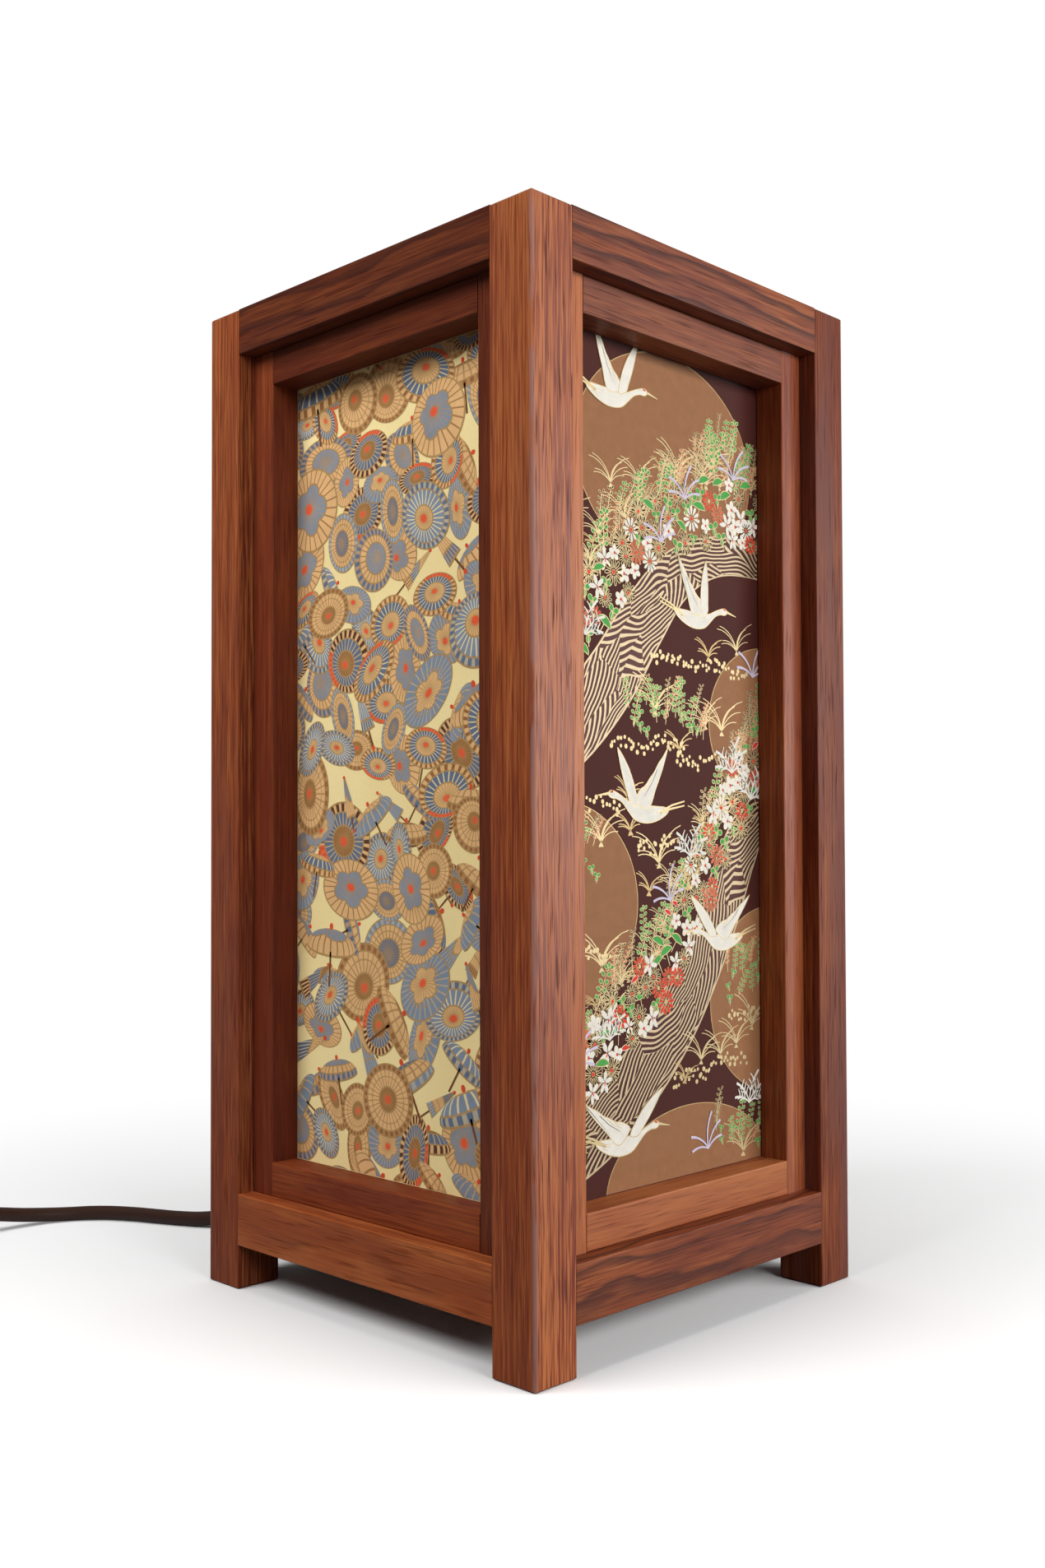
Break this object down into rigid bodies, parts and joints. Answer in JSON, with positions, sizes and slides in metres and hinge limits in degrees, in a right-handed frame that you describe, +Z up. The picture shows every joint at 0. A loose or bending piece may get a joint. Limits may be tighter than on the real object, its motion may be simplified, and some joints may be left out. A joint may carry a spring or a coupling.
{
  "type": "table lamp",
  "caption": "Square wooden table lamp with an open top, patterned paper set in recessed sashes, and a brown lead with a rocker switch and a plug.",
  "frame": {"origin": "on the table, at the middle of the lamp's square footprint", "axes": "+Z up; -Y is the front, +Y the back where the lead leaves, -X the left side"},
  "size_m": [0.3573, 0.325, 0.384],
  "materials": {
    "post_wood": "oiled reddish brown wood with straight open grain",
    "rail_wood": "oiled reddish brown wood, a little darker",
    "sash_wood": "oiled reddish brown wood",
    "inner_wood": "plain wood, lightly oiled",
    "parasol_paper": "matt printed paper with gold lines",
    "crane_paper": "matt printed paper with gold lines",
    "brass": "bright",
    "screw_steel": "zinc plated",
    "porcelain": "white glaze",
    "bulb_glass": "frosted",
    "cap_metal": "satin",
    "lead_brown": "dark brown flexible sheath, satin",
    "moulded_brown": "dark brown, satin",
    "rocker_black": "near black"
  },
  "bodies": {
    "lamp": {"front_left_post": "post_wood", "front_right_post": "post_wood", "back_right_post": "post_wood", "back_left_post": "post_wood", "front_top_rail": "rail_wood", "right_top_rail": "rail_wood", "back_top_rail": "rail_wood", "left_top_rail": "rail_wood", "front_bottom_rail": "rail_wood", "right_bottom_rail": "rail_wood", "back_bottom_rail": "rail_wood", "left_bottom_rail": "rail_wood", "front_sash_left_stile": "sash_wood", "right_sash_left_stile": "sash_wood", "back_sash_left_stile": "sash_wood", "left_sash_left_stile": "sash_wood", "front_sash_right_stile": "sash_wood", "right_sash_right_stile": "sash_wood", "back_sash_right_stile": "sash_wood", "left_sash_right_stile": "sash_wood", "front_sash_top_rail": "sash_wood", "right_sash_top_rail": "sash_wood", "back_sash_top_rail": "sash_wood", "left_sash_top_rail": "sash_wood", "front_sash_bottom_rail": "sash_wood", "right_sash_bottom_rail": "sash_wood", "back_sash_bottom_rail": "sash_wood", "left_sash_bottom_rail": "sash_wood", "front_paper": "crane_paper", "right_paper": "parasol_paper", "back_paper": "crane_paper", "left_paper": "parasol_paper", "front_paper_beads": "inner_wood", "right_paper_beads": "inner_wood", "back_paper_beads": "inner_wood", "left_paper_beads": "inner_wood", "base_board": "inner_wood", "left_cleat": "inner_wood", "right_cleat": "inner_wood", "board_screws": "brass", "cleat_screws": "brass", "lampholder_body": "porcelain", "lampholder_sleeve": "brass", "lampholder_contact": "brass", "lampholder_screws": "screw_steel", "strain_relief": "lead_brown", "inner_lead": "lead_brown", "lamp_cord": "lead_brown", "coil_lead": "lead_brown", "cord_coil": "lead_brown", "plug_lead": "lead_brown", "switch_base": "moulded_brown", "switch_cover": "moulded_brown", "switch_screws": "screw_steel", "plug_body": "moulded_brown", "plug_blades": "brass"},
    "bulb": {"bulb_glass": "bulb_glass", "bulb_cap": "cap_metal"},
    "rocker": {"switch_rocker": "rocker_black"}
  },
  "joints": [
    {"name": "bulb_lift", "type": "slide", "parent": "lamp", "child": "bulb", "axis": [0, 0, 1], "range_m": [0, 0.34]},
    {"name": "switch_rock", "type": "hinge", "parent": "lamp", "child": "rocker", "pos_m": [-0.166, 0.222, 0.0125], "axis": [0, -1, 0], "range_deg": [0, 16]}
  ]
}
